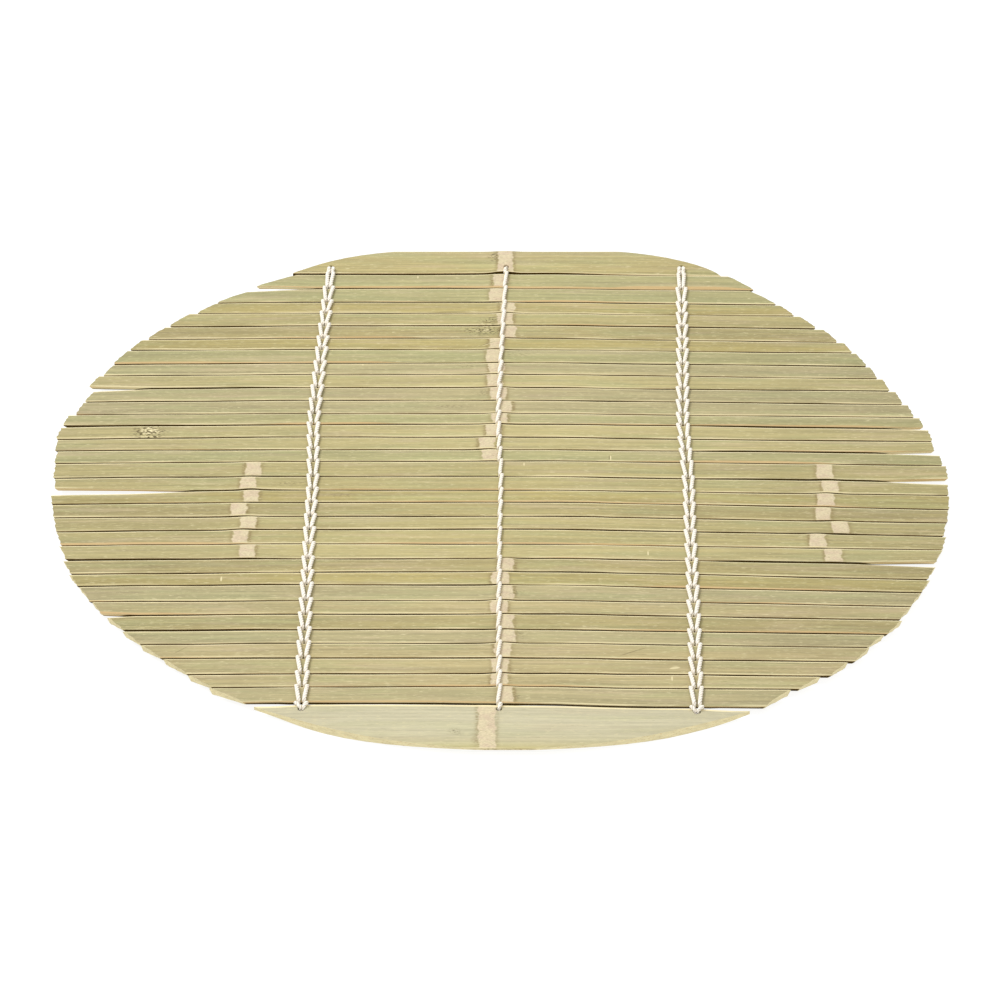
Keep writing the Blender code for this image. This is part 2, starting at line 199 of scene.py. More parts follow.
# Tan strips where the skin is split off a slat's near edge: piece, x, half length and width
BANDS = (
    (1, -5.0, 75.0, 0.6), (1, 50.0, 26.0, 1.2), (5, -36.0, 16.0, 0.4), (7, -92.0, 26.0, 0.55),
    (12, -46.0, 20.0, 0.5), (18, 10.0, 60.0, 0.25), (21, 5.0, 52.0, 0.4), (26, -97.0, 18.0, 0.5),
    (31, 0.0, 30.0, 0.35), (32, -25.0, 48.0, 0.35),
)

# Speckled places: piece, x, share of the width from the near edge, reach along and across, strength
SPECKLES = (
    (0, -1.6, 0.60, 0.9, 2.2, 1.6), (4, -2.6, 0.30, 2.2, 1.6, 1.3), (5, -4.6, 0.55, 4.2, 1.8, 1.8),
    (7, 4.2, 0.55, 3.4, 0.9, 0.5), (8, -9.0, 0.6, 2.4, 0.6, 0.7), (10, -5.0, 0.5, 2.4, 1.4, 0.5),
    (11, -14.0, 0.45, 6.0, 0.6, 0.6), (13, -94.8, 0.5, 2.9, 2.6, 3.0),
    (18, -42.0, 0.5, 3.0, 1.0, 0.5), (17, -56.0, 0.4, 4.0, 1.0, 0.6),
    (25, 4.2, 0.4, 1.8, 1.4, 0.5), (28, 5.0, 0.5, 1.4, 1.6, 0.5), (32, 4.2, 0.3, 1.2, 0.8, 0.7),
    (33, -11.4, 0.40, 0.55, 0.4, 1.6), (33, -30.0, 0.66, 0.5, 0.3, 1.0),
)

# Scuffs: piece, x, distance from the near edge, half sizes along and across, rise for each
# millimetre along, and how strong, pale above zero and dark below
SCARS = (
    (1, -23.2, 5.2, 0.25, 1.0, 0.0, 0.7), (6, -3.2, 2.1, 2.6, 0.2, 0.39, -0.6),
    (6, -3.2, 1.8, 2.4, 0.22, 0.39, 0.6), (8, -37.8, 4.6, 0.3, 1.0, 0.2, 0.7),
    (15, 29.8, 1.2, 0.2, 1.3, 0.0, 0.9), (15, 29.4, 1.3, 0.12, 1.2, 0.0, -0.7),
    (16, 6.5, 5.2, 0.25, 1.0, 0.0, 0.7), (22, 38.8, 2.3, 0.25, 1.2, 0.1, 0.8),
    (24, -72.4, 1.9, 0.3, 1.3, 0.2, 0.8), (29, 34.1, 2.6, 4.2, 0.2, 0.53, -0.5),
    (30, 44.4, 2.1, 1.6, 0.5, 0.2, 0.7), (12, -58.0, 2.4, 7.0, 0.12, 0.05, -0.4),
    (31, 43.6, 3.6, 0.3, 1.3, 0.0, 0.7), (29, -81.3, 2.9, 2.0, 0.2, 0.9, -0.45),
)

# Cords
TIE_SPACING = math.sqrt(FAR_SLAB_RADIUS ** 2 - FAR_HOLE_Y ** 2) - 6.6
TIE_BOW = 0.6
# What all three ties stray sideways: share of the radius, and millimetres
TIE_STRAY = ((0.90, 1.8), (0.24, -0.45), (0.0, 0.3), (-0.17, 0.0), (-0.86, -0.2))
PAIR_INNER = 0.56
PAIR_OUTER = 1.38
FIRST_OUTER = 0.95
CENTRE_HALF = 0.33
HOLE_STEP = 0.5
CORD_HALF_WIDTH = 0.55
CORD_HALF_HEIGHT = 0.47
# Half width and half thickness of a strand: lying freely, bent over an edge, where it enters a seam,
# squeezed inside it, and knotted
LYING = (CORD_HALF_WIDTH, CORD_HALF_HEIGHT)
BENT = (CORD_HALF_WIDTH * 0.95, CORD_HALF_HEIGHT * 0.85)
SEAM_MOUTH = (0.4, 0.24)
IN_SEAM = (0.4, 0.19)
KNOTTED = (0.38, 0.38)
PLIES = 3
PLY_GROOVE = 0.2
PLY_PITCH = 3.1
# How far each radian of a strand's turn shifts its grain along it
TURN_STEP = 20.0
# Each cord: its tie, its x beside the tie's middle where it rises and where it dives, and in a hole
PAIRS = {
    "cord_left_outer": (-1, -PAIR_OUTER, -PAIR_INNER, -HOLE_STEP),
    "cord_left_inner": (-1, PAIR_OUTER, PAIR_INNER, HOLE_STEP),
    "cord_centre": (0, CENTRE_HALF, -CENTRE_HALF, 0.0),
    "cord_right_inner": (1, -PAIR_OUTER, -PAIR_INNER, -HOLE_STEP),
    "cord_right_outer": (1, PAIR_OUTER, PAIR_INNER, HOLE_STEP),
}

SLAT_COUNT = sum(name.startswith("slat_") for name in frame["nodes"])
LAST = SLAT_COUNT + 1
HINGES = {joint["name"]: joint for joint in frame["joints"]}
SEAM_Y = [HINGES[f"seam_{seam:02d}"]["pos_m"][1] / MM for seam in range(SLAT_COUNT + 1)]
AXIS_Z = HINGES["seam_00"]["pos_m"][2] / MM
FAR_INNER = SEAM_Y[0] + SLAB_GAP
NEAR_INNER = SEAM_Y[SLAT_COUNT] - SLAB_GAP


def smooth_step(value):
    value = np.clip(value, 0.0, 1.0)
    return value * value * (3 - 2 * value)


def body_name(piece):
    return {0: "far_end_slab", LAST: "near_end_slab"}.get(piece, f"slat_{piece:02d}")


# Stage

def make_camera():
    data = bpy.data.cameras.new("camera")
    data.sensor_width = SENSOR
    data.lens = FOCAL_PIXELS / PICTURE * SENSOR
    data.clip_start = 0.05
    data.clip_end = 50.0
    camera = bpy.data.objects.new("camera", data)
    bpy.context.scene.collection.objects.link(camera)
    back = Vector((0.0, -math.cos(EYE_ELEVATION), math.sin(EYE_ELEVATION)))
    place = (Vector(EYE_POINT) + back * EYE_DISTANCE) * MM
    camera.location = place
    camera.rotation_mode = "QUATERNION"
    camera.rotation_quaternion = (Vector(AIM) * MM - place).to_track_quat("-Z", "Y")
    bpy.context.scene.camera = camera


def add_light(name, place, size, power):
    """Large soft lamp that faces the mat."""
    data = bpy.data.lights.new(name, "AREA")
    data.shape = "RECTANGLE"
    data.size = size[0]
    data.size_y = size[1]
    data.energy = power
    lamp = bpy.data.objects.new(name, data)
    bpy.context.scene.collection.objects.link(lamp)
    lamp.location = place
    lamp.rotation_mode = "QUATERNION"
    lamp.rotation_quaternion = (-Vector(place)).to_track_quat("-Z", "Y")


def make_stage():
    add_light("key", (-0.9, 0.35, 1.35), (0.9, 0.7), 19.0)
    add_light("front", (0.5, -1.5, 1.3), (1.4, 0.8), 6.0)
    world = bpy.data.worlds.new("studio")
    world.use_nodes = True
    background = world.node_tree.nodes["Background"]
    background.inputs["Color"].default_value = (1.0, 1.0, 1.0, 1.0)
    background.inputs["Strength"].default_value = 0.85
    bpy.context.scene.world = world
    bpy.context.scene.view_settings.view_transform = "Standard"
    reach = 4.0
    mesh = bpy.data.meshes.new("floor")
    corners = [(-reach, -reach), (reach, -reach), (reach, reach), (-reach, reach)]
    mesh.from_pydata([(x, y, -0.0001) for x, y in corners], [], [(0, 1, 2, 3)])
    floor = bpy.data.objects.new("floor", mesh)
    bpy.context.scene.collection.objects.link(floor)
    paper = Shader("floor_paper")
    looks = {
        "Base Color": (0.2, 0.2, 0.2, 1.0), "Emission Color": (1.0, 1.0, 1.0, 1.0),
        "Emission Strength": 0.86, "Roughness": 0.9, "Specular IOR Level": 0.1,
    }
    for key, value in looks.items():
        paper.put(paper.surface, key, value)
    mesh.materials.append(paper.material)


# Material nodes

def linear(colour):
    """Linear colour with alpha from an 8-bit one."""
    parts = [part / 255 for part in colour]
    parts = [p / 12.92 if p <= 0.04045 else ((p + 0.055) / 1.055) ** 2.4 for p in parts]
    return (*parts, 1.0)


class Shader:
    """A material's node tree, with short calls for the nodes used here."""

    def __init__(self, name):
        self.material = bpy.data.materials.new(name)
        self.material.use_nodes = True
        self.tree = self.material.node_tree
        self.surface = self.tree.nodes["Principled BSDF"]

    def node(self, kind, inputs, output=0, **settings):
        made = self.tree.nodes.new("ShaderNode" + kind)
        for key, value in settings.items():
            setattr(made, key, value)
        for key, value in inputs.items():
            self.put(made, key, value)
        return made.outputs[output]

    def put(self, node, key, value):
        if isinstance(value, bpy.types.NodeSocket):
            self.tree.links.new(value, node.inputs[key])
        else:
            node.inputs[key].default_value = value

    def attribute(self, name, output):
        return self.node("Attribute", {}, output, attribute_name=name)

    def parts(self, name):
        """The three numbers of a vector attribute."""
        return self.node("SeparateXYZ", {0: self.attribute(name, "Vector")}).node.outputs

    def noise(self, place, scale, detail=2.0, roughness=0.55):
        """Noise from 0 to 1 whose grain is stretched by the three scales."""
        moved = self.node("VectorMath", {0: place, 1: scale}, operation="MULTIPLY")
        settings = {"Vector": moved, "Scale": 1.0, "Detail": detail, "Roughness": roughness}
        return self.node("TexNoise", settings, "Fac")

    def dots(self, place, scale):
        """Distance to the nearest of many scattered points."""
        moved = self.node("VectorMath", {0: place, 1: scale}, operation="MULTIPLY")
        return self.node("TexVoronoi", {"Vector": moved, "Scale": 1.0}, "Distance")

    def spread(self, value, low, high, to_low=0.0, to_high=1.0):
        """Value between two limits, eased and mapped to two others."""
        settings = {0: value, 1: low, 2: high, 3: to_low, 4: to_high}
        return self.node("MapRange", settings, interpolation_type="SMOOTHSTEP")

    def maths(self, operation, first, second):
        return self.node("Math", {0: first, 1: second}, operation=operation)

    def mix(self, share, first, second, blend="MIX"):
        settings = {"Factor": share, 6: first, 7: second}
        return self.node("Mix", settings, 2, data_type="RGBA", blend_type=blend)

    def brightness(self, colour, value):
        return self.node("HueSaturation", {"Color": colour, "Value": value})

    def finish(self, colour, roughness, height, depth):
        """Joins colour, roughness and bump to the surface."""
        bump = {"Height": height, "Distance": depth * MM, "Strength": 1.0}
        self.put(self.surface, "Base Color", colour)
        self.put(self.surface, "Roughness", roughness)
        self.put(self.surface, "Normal", self.node("Bump", bump))
        self.surface.inputs["Specular IOR Level"].default_value = 0.35
        return self.material


NODE_TAN = linear((204, 190, 155))
NODE_ROSE = linear((198, 179, 150))
NODE_BROW = linear((130, 112, 70))
GREEN_SKIN = linear((156, 157, 110))
ROSE_SKIN = linear((178, 160, 128))
CREAM = linear((216, 204, 160))
# Cream for pale speckles, and for the painted highlight along the far long edges
PALE_AND_HIGHLIGHT_CREAM = linear((226, 213, 170))
TAN_SIDE = linear((192, 160, 110))
# Painted shade down the split sides inside the seams
GAP_SHADE_BROWN = linear((68, 52, 15))
DARK_SPECK = linear((74, 60, 22))
FLECK = linear((205, 195, 152))
YELLOW_RIM = linear((166, 156, 92))
COTTON_WHITE = linear((247, 241, 228))
COTTON_SOIL = linear((236, 222, 200))
COTTON_GROOVE_SHADE = linear((178, 164, 146))


def skin_material(name, patchy, streaky):
    """Outer or inner bamboo face: long fibres, tone patches, a tan ring at each node, flecks."""
    s = Shader(name)
    place = s.attribute("grain", "Vector")
    ring, near, far = s.parts("mark")
    speckle, brow, rim = s.parts("spot")
    fine = s.noise(place, (0.07, 4.2, 1.5), 4.0, 0.75)
    long = s.noise(place, (0.016, 1.1, 0.4), 3.0)
    colour = s.mix(rim, s.attribute("tone", "Color"), YELLOW_RIM)
    green = s.spread(s.noise(place, (0.03, 0.3, 0.2)), 0.45, 0.7, 0.0, patchy)
    rose = s.spread(s.noise(place, (-0.035, 0.4, 0.4)), 0.5, 0.72, 0.0, patchy)
    colour = s.mix(green, colour, GREEN_SKIN)
    colour = s.mix(rose, colour, ROSE_SKIN)
    streak = s.maths("ADD", s.spread(fine, 0.3, 0.7, -0.5, 0.5), s.spread(long, 0.3, 0.7, -0.5, 0.5))
    value = s.maths("ADD", s.maths("MULTIPLY", streak, streaky), 1.0)
    colour = s.brightness(colour, value)
    dapple = s.spread(s.noise(place, (0.22, 2.2, 1.0), 3.0, 0.7), 0.3, 0.7, 0.95, 1.05)
    colour = s.brightness(colour, dapple)
    flecks = s.spread(s.noise(place, (0.45, 5.0, 1.0)), 0.6, 0.7, 0.0, 0.75)
    colour = s.mix(flecks, colour, FLECK)
    dark = s.spread(s.noise(place, (-0.35, 4.1, 2.0), 3.0), 0.34, 0.24, 0.0, 0.5)
    colour = s.mix(dark, colour, DARK_SPECK)
    wavy = s.spread(s.noise(place, (0.1, 0.4, 0.5), 2.0, 0.6), 0.25, 0.75, -0.2, 0.2)
    browed = s.maths("MULTIPLY", brow, s.spread(s.noise(place, (1.2, 2.6, 1.0)), 0.3, 0.6))
    colour = s.mix(browed, colour, NODE_BROW)
    ringed = s.spread(s.maths("ADD", ring, wavy), 1.12, 0.88, 0.0, 0.94)
    crossed = s.noise(place, (1.4, 2.4, 1.0), 3.0, 0.75)
    rosy = s.spread(s.noise(place, (0.3, 0.5, 0.2)), 0.4, 0.65)
    tan = s.brightness(s.mix(rosy, NODE_TAN, NODE_ROSE), s.spread(crossed, 0.3, 0.7, 0.82, 1.08))
    pits = s.spread(s.noise(place, (0.8, 3.4, 1.0)), 0.62, 0.72, 0.0, 0.6)
    colour = s.mix(ringed, colour, s.mix(pits, tan, NODE_BROW))
    # Near long edge: skin worn to cream, and painted lighter there as an edge highlight
    margin = s.spread(s.noise(place, (0.04, 0.2, 0.2)), 0.35, 0.65, 0.1, 0.85)
    worn = s.maths("MULTIPLY", s.spread(near, 0.42, 0.22), margin)
    colour = s.mix(worn, colour, CREAM)
    # Painted highlight: a brighter cream line along the far long edge
    far_highlight = s.spread(s.noise(place, (0.05, 0.2, 0.2)), 0.3, 0.55, 0.45, 1.0)
    colour = s.mix(s.maths("MULTIPLY", s.spread(far, 0.8, 0.6), far_highlight), colour, PALE_AND_HIGHLIGHT_CREAM)
    split = s.spread(s.noise(place, (0.011, 0.06, 0.1)), 0.56, 0.74, 0.0, 0.6)
    split = s.maths("MAXIMUM", split, s.attribute("band", "Fac"))
    inside = s.maths("SUBTRACT", split, near)
    colour = s.mix(s.spread(inside, -0.08, 0.08, 0.0, 0.75), colour, TAN_SIDE)
    grains = s.noise(place, (1.1, 2.9, 1.0), 1.0, 0.5)
    pale = s.maths("MULTIPLY", s.spread(grains, 0.5, 0.4), s.spread(speckle, 0.9, 2.2))
    colour = s.mix(pale, colour, PALE_AND_HIGHLIGHT_CREAM)
    spotted = s.maths("MULTIPLY", s.spread(grains, 0.52, 0.6), speckle)
    colour = s.mix(s.maths("MINIMUM", spotted, 0.9), colour, DARK_SPECK)
    for scar in SCARS if name == "bamboo_outer" else ():
        strength = scar_at(s, place, scar)
        colour = s.mix(strength, colour, CREAM if scar[-1] > 0 else DARK_SPECK)
    roughness = s.spread(long, 0.2, 0.8, 0.42, 0.62)
    height = s.maths("ADD", fine, s.maths("MULTIPLY", long, 0.8))
    return s.finish(colour, roughness, height, 0.05)


def scar_at(s, place, scar):
    """Strength of one slanted oval scuff."""
    piece, x, across, half_along, half_across, rise, strength = scar
    middle = (x + GRAIN_STEP * piece, across + ACROSS_STEP * piece, 0.0)
    offset = s.node("VectorMath", {0: place, 1: middle}, operation="SUBTRACT")
    squares = []
    for axis in ((1 / half_along, 0.0, 0.0), (-rise / half_across, 1 / half_across, 0.0)):
        part = s.node("VectorMath", {0: offset, 1: axis}, "Value", operation="DOT_PRODUCT")
        squares.append(s.maths("MULTIPLY", part, part))
    return s.spread(s.maths("ADD", *squares), 1.0, 0.3, 0.0, abs(strength))


def split_material():
    """Split long sides: cream or tan at the upper edge, with painted shade in dark brown down in the
    seam.
    """
    s = Shader("bamboo_split")
    place = s.attribute("grain", "Vector")
    near, far = s.parts("mark")[1:]
    depth = s.maths("MULTIPLY", s.maths("MINIMUM", near, far), -1.0)
    fine = s.noise(place, (0.06, 2.0, 5.0), 4.0, 0.65)
    long = s.noise(place, (0.02, 0.5, 1.2))
    lit = s.spread(s.noise(place, (0.03, 0.1, 0.1)), 0.45, 0.7, -0.12, 0.08)
    colour = s.mix(s.spread(long, 0.4, 0.65), CREAM, TAN_SIDE)
    # Painted shade: the side turns dark brown further down in the seam
    colour = s.mix(s.spread(s.maths("SUBTRACT", depth, lit), -0.04, 0.1), colour, GAP_SHADE_BROWN)
    colour = s.brightness(colour, s.spread(fine, 0.25, 0.75, 0.8, 1.12))
    s.finish(colour, s.spread(fine, 0.2, 0.8, 0.75, 0.95), fine, 0.08)
    s.surface.inputs["Specular IOR Level"].default_value = 0.08
    return s.material


def sawn_material():
    """Sawn ends: pale wood full of small darker fibre bundles."""
    s = Shader("bamboo_sawn")
    place = s.attribute("grain", "Vector")
    bundles = s.dots(place, (0.5, 3.2, 3.2))
    patches = s.noise(place, (0.3, 0.9, 1.6))
    colour = s.mix(s.spread(bundles, 0.32, 0.12, 0.0, 0.75), CREAM, TAN_SIDE)
    colour = s.brightness(colour, s.spread(patches, 0.2, 0.8, 0.86, 1.1))
    worn = s.maths("MULTIPLY", s.parts("spot")[1], 0.6)
    colour = s.mix(worn, colour, NODE_BROW)
    return s.finish(colour, s.spread(patches, 0.2, 0.8, 0.75, 0.9), bundles, 0.06)


def cotton_material():
    """Off-white twisted cotton with fine fibres and soft grey painted shade between its plies."""
    s = Shader("cotton_twist")
    place = s.attribute("grain", "Vector")
    groove = s.attribute("groove", "Fac")
    fuzz = s.noise(place, (2.2, 7.0, 4.0), 4.0, 0.7)
    soil = s.noise(place, (0.35, 0.4, 0.3))
    colour = s.mix(s.spread(soil, 0.4, 0.75, 0.0, 0.5), COTTON_WHITE, COTTON_SOIL)
    # Painted shade: grey in the grooves between the plies
    colour = s.mix(s.spread(groove, 0.35, 1.0, 0.0, 0.75), colour, COTTON_GROOVE_SHADE)
    colour = s.brightness(colour, s.spread(fuzz, 0.25, 0.75, 0.9, 1.05))
    s.surface.inputs["Sheen Weight"].default_value = 0.3
    s.surface.inputs["Sheen Roughness"].default_value = 0.5
    return s.finish(colour, s.spread(fuzz, 0.2, 0.8, 0.85, 0.98), fuzz, 0.06)


SKIN = skin_material("bamboo_outer", 0.4, 0.26)
INNER = skin_material("bamboo_inner", 0.2, 0.16)
SPLIT = split_material()
SAWN = sawn_material()
COTTON = cotton_material()


# Meshes

def write_attributes(mesh, attributes):
    kinds = {"tone": ("FLOAT_COLOR", "color"), "groove": ("FLOAT", "value"), "band": ("FLOAT", "value")}
    for key, values in attributes.items():
        kind, field = kinds.get(key, ("FLOAT_VECTOR", "vector"))
        made = mesh.attributes.get(key) or mesh.attributes.new(key, kind, "POINT")
        made.data.foreach_set(field, np.asarray(values, np.float32).ravel())


def add_piece(name, points, faces, materials, indices, attributes, body, replaced):
    """Mesh object from points in millimetres, riding on a body in place of model nodes."""
    mesh = bpy.data.meshes.new(name)
    mesh.from_pydata((np.asarray(points) * MM).tolist(), [], faces)
    for material in materials:
        mesh.materials.append(material)
    mesh.polygons.foreach_set("material_index", indices)
    write_attributes(mesh, attributes)
    mesh.shade_smooth()
    mesh.set_sharp_from_angle(angle=math.radians(50))
    piece = bpy.data.objects.new(name, mesh)
    bpy.context.scene.collection.objects.link(piece)
    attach(piece, body)
    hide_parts(*replaced)
    return piece


# Wood

def node_lift(piece, x):
    """How much a node swells a piece there, from 0 to 1."""
    return sum(np.exp(-((x - place) / 3.2) ** 2) for place in NODES[piece])


def node_brow(piece, x):
    """Darker brown just beside each node, stronger on one side."""
    total = np.zeros_like(x)
    for place in NODES[piece]:
        for side in (-1, 1):
            strength = 0.75 + 0.35 * math.sin(2.7 * piece + 1.3 * side + place)
            middle = place + side * 1.12 * NODE_HALF
            total = total + strength * np.exp(-((x - middle) / 0.6) ** 2)
    return total


def node_share(piece, x):
    """Distance to the piece's nearest node, 1 at the edge of its ring."""
    return np.min([np.abs(x - place) / NODE_HALF for place in NODES[piece]], axis=0)


def seam_drift(seam, x):
    """Gentle wander of a seam, the same for both its edges, with a jog beside the nodes."""
    wave = 0.08 * np.sin(x / 31.0 + 1.7 * seam) + 0.05 * np.sin(x / 13.0 + 2.9 * seam)
    jog = 0.16 + 0.2 * math.sin(2.3 * seam + 0.6)
    bow = np.interp(x, *np.array(BOW).T)
    lean = LEAN_SLOPE * np.interp(seam, *np.array(LEANS).T) * np.maximum(x - LEAN_X, 0.0)
    if seam == SLAT_COUNT:
        lean = np.interp(x, *np.array(SAG).T)
    return wave + bow + lean + jog * node_lift(min(seam + 1, SLAT_COUNT), x)


def fanned(seam, x, y):
    """A slat's long edge, kept at its seam up to where that seam fans open."""
    rest = SEAM_Y[seam]
    opened = y - rest
    extra = np.sign(opened) * np.maximum(np.abs(opened) - CLOSED_HALF, 0.0)
    half = math.sqrt(RADIUS ** 2 - rest ** 2)
    left = FAN_STARTS.get((seam, -1), FAN_START)
    right = FAN_STARTS.get((seam, 1), FAN_START)
    share = (np.abs(x) / half - np.where(x < 0, left, right)) / FAN_REACH
    return y - extra * (1 - smooth_step(share))


def seam_closing(seam, x):
    """How far an edge leans into its seam, which is tight in places but open at the ties."""
    wave = np.sin(x / 21.0 + 2.1 * seam) + np.sin(x / 9.3 + 4.7 * seam)
    wave = wave + 1.6 * (seam in TIGHT_SEAMS) - 1.2 * (seam in DARK_SEAMS)
    closing = 0.14 * smooth_step(0.3 * wave) * (1 - 0.8 * smooth_step(np.abs(x) / 90.0 - 0.3)) - 0.045
    for tie in (-1, 0, 1):
        closing = closing * (1 - np.exp(-((x - tie_x(tie, SEAM_Y[seam])) / 4.0) ** 2))
    opened, start, length, reach = LEFT_FAN
    if seam == opened:
        closing = closing - reach * smooth_step((start - x) / length)
    return closing


def long_edges(piece):
    """The model's two widest long edges of a slat, near and far, as lines of x and y."""
    points = np.array([v.co for v in frame["nodes"][body_name(piece)].data.vertices]) / MM
    rim = points[np.abs(points[:, 2] - (SLAT_TOP - SLAT_EDGE_DROP)) < 0.05]
    middle = (SEAM_Y[piece - 1] + SEAM_Y[piece]) / 2
    lines = []
    for side in (rim[rim[:, 1] < middle], rim[rim[:, 1] > middle]):
        side = np.unique(side.round(4), axis=0)
        lines.append((side[:, 0], side[:, 1]))
    return lines


def stations(piece, left, right):
    """Places along a piece, closer together at its nodes and ends."""
    places = set(np.linspace(left, right, int((right - left) / 2.4)).round(3))
    for at in NODES[piece]:
        near = [at + 0.45 * step for step in range(-9, 10)]
        places = {p for p in places if abs(p - at) > 4.3} | set(near)
    places = sorted(p for p in places if left < p < right)
    places = [left, left + 0.5] + [p for p in places if left + 1.0 < p < right - 1.0]
    return np.array(places + [right - 0.5, right])


def speckle_at(piece, x, share, width):
    total = np.zeros_like(x)
    for where, centre, across, reach, deep, strength in SPECKLES:
        if where == piece:
            spread = ((x - centre) / reach) ** 2 + ((share - across) * width / deep) ** 2
            total = total + strength * np.exp(-spread)
    return total


def make_plank(piece, shares, place, top, bottom, undercut, top_finish, low_finish, ragged):
    """Closed wooden piece: rows along its length, rounded long edges, split sides, sawn ends.

    place gives x and y of each row's point, and shares the rows from the near edge to the far one.
    """
    rng = np.random.default_rng(piece)
    shares = np.array(shares)
    rows = len(shares)
    x, y, width = place(shares)
    count = len(x)
    level = np.array(SIDE_LEVELS)
    upper = top(x, y)
    lower = bottom(x, y)
    low_y = y + undercut * (1 - 2 * shares)
    chip = rng.uniform(0.0, 1.0, (2, rows))
    rings = np.zeros((count, 2 * rows + 2 * len(level), 3))
    rings[:, :rows] = np.stack([x, y, upper], -1)
    rings[:, rows + 2:2 * rows + 2] = np.stack([x, low_y, lower], -1)[:, ::-1]
    for side, first in ((-1, rows), (0, 2 * rows + 2)):
        high = upper[:, side, None]
        down = level if side else level[::-1]
        inward = np.interp(down, SIDE_LEVELS, SIDE_INS) * undercut * (1 if side == 0 else -1)
        dents = rng.uniform(0.0, SIDE_DENTS, (count, 2)) * (1 if side == 0 else -1)
        rings[:, first:first + 2, 0] = x[:, side, None]
        rings[:, first:first + 2, 1] = y[:, side, None] + inward + dents
        rings[:, first:first + 2, 2] = high - (high - lower[:, side, None]) * down
    chips = np.concatenate(
        [
            chip[0],
            chip[0, -1] + (chip[1, -1] - chip[0, -1]) * level,
            chip[1, ::-1],
            chip[1, 0] + (chip[0, 0] - chip[1, 0]) * level,
        ]
    )
    fall = np.concatenate([np.zeros(rows), level, np.ones(rows), level[::-1]])
    back = END_UNDERCUT * fall if undercut else np.zeros_like(fall)
    for end, sign in ((0, 1), (-1, -1)):
        rings[end, :, 0] += sign * (ragged * chips + back)
        rings[end + sign, :, 0] += sign * 0.7 * back
    ring_size = rings.shape[1]
    points = rings.reshape(-1, 3)
    faces = []
    finishes = []
    for i in range(count - 1):
        for k in range(ring_size):
            m = (k + 1) % ring_size
            a, b = i * ring_size, (i + 1) * ring_size
            faces.append((a + k, b + k, b + m, a + m))
            if k < rows - 1:
                finishes.append(TOP)
            elif rows + 2 <= k < 2 * rows + 1:
                finishes.append(LOW)
            else:
                outer = k < 2 * rows if piece == 0 else k > 2 * rows
                finishes.append(END if outer and piece in (0, LAST) else SIDE)
    last = (count - 1) * ring_size
    for base, turned in ((0, False), (last, True)):
        for j in range(rows - 1):
            loop = [base + j, base + j + 1]
            if j == rows - 2:
                loop += [base + rows, base + rows + 1]
            loop += [base + 2 * rows + 1 - (j + 1), base + 2 * rows + 1 - j]
            if j == 0:
                loop += [base + 2 * rows + 2, base + 2 * rows + 3]
            faces.append(tuple(loop[::-1] if turned else loop))
            finishes.append(END)
    share = np.concatenate([shares, [1, 1], shares[::-1], [0, 0]])[None, :] * np.ones((count, 1))
    span = np.broadcast_to(width[:, None], share.shape)
    depth = np.broadcast_to(upper[:, rows // 2, None], share.shape) - rings[:, :, 2]
    depth = np.maximum(depth - SLAT_EDGE_DROP, 0.0)
    # Painted shade down the split sides: closed seams darken them from near the top, open ones keep
    # them light further down
    near_side = seam_shade(piece, x[:, 0], y[:, 0])[:, None]
    far_side = seam_shade(piece - 1, x[:, -1], y[:, -1])[:, None]
    shade = near_side + (far_side - near_side) * share[..., None]
    lit_depth = 0.25 * (depth - 1.4)
    depth = shade[..., 0] * (depth + shade[..., 1]) + (1 - shade[..., 0]) * lit_depth
    attributes = wood_marks(piece, points, share.ravel(), depth.ravel(), span.ravel())
    materials = (top_finish, low_finish, SPLIT, SAWN)
    body = body_name(piece)
    name = f"bamboo_{body}"
    return add_piece(name, points, faces, materials, finishes, attributes, body, [body])


def seam_shade(seam, x, y):
    """How closed a seam is beside a long edge, from 0 to 1, and how much more painted shade its side
    gets.
    """
    if not 0 <= seam <= SLAT_COUNT:
        return np.stack([np.ones_like(x), np.zeros_like(x)], -1)
    away = np.abs(y - SEAM_Y[seam] - seam_drift(seam, x))
    closed = np.clip(1 - (away - LIT_FROM) / LIT_OVER, 0, 1)
    if seam in SHADED_LEFT:
        closed = np.where(x < 0, 1.0, closed)
    darker = 0.06 * (seam in DARK_SEAMS) - 0.06 * (seam in TIGHT_SEAMS) - 0.4 * (seam == SLAT_COUNT)
    return np.stack([closed, np.full_like(x, darker)], -1)


def wood_marks(piece, points, share, depth, width):
    """What the wood materials read: place in the grain, distances, spots and tone.

    A point's distance from the near or far long edge turns negative down that edge's side.
    """
    x = points[:, 0]
    along = x + GRAIN_STEP * piece
    across = share * width + ACROSS_STEP * piece
    grain = np.stack([along, across, points[:, 2] + 13.0 * piece], -1)
    ring = np.minimum(node_share(piece, x), 6.0)
    near = np.where(share > 0.001, share * width, -depth)
    far = np.where(share < 0.999, (1 - share) * width, -depth)
    rim = 0.8 * np.exp(-near / 2.6) if piece == LAST else np.zeros_like(x)
    brow = node_brow(piece, x)
    if piece == LAST:
        brow = np.where(share > 0.001, brow, 1.2 * np.exp(-((x / 62.0) ** 2)))
    spot = np.stack([speckle_at(piece, x, share, width), brow, rim], -1)
    tone = np.tile(linear(TONES[PIECE_TONES[piece]]), (len(points), 1))
    tone[:, :3] *= 1 - END_SHADE * smooth_step(np.abs(x) / RADIUS)[:, None]
    band = np.zeros_like(x)
    for where, middle, reach, wide in BANDS:
        if where == piece:
            band = np.maximum(band, wide * smooth_step(1.6 - 1.6 * np.abs(x - middle) / reach))
    mark = np.stack([ring, near, far], -1)
    return {"grain": grain, "mark": mark, "spot": spot, "tone": tone, "band": band}


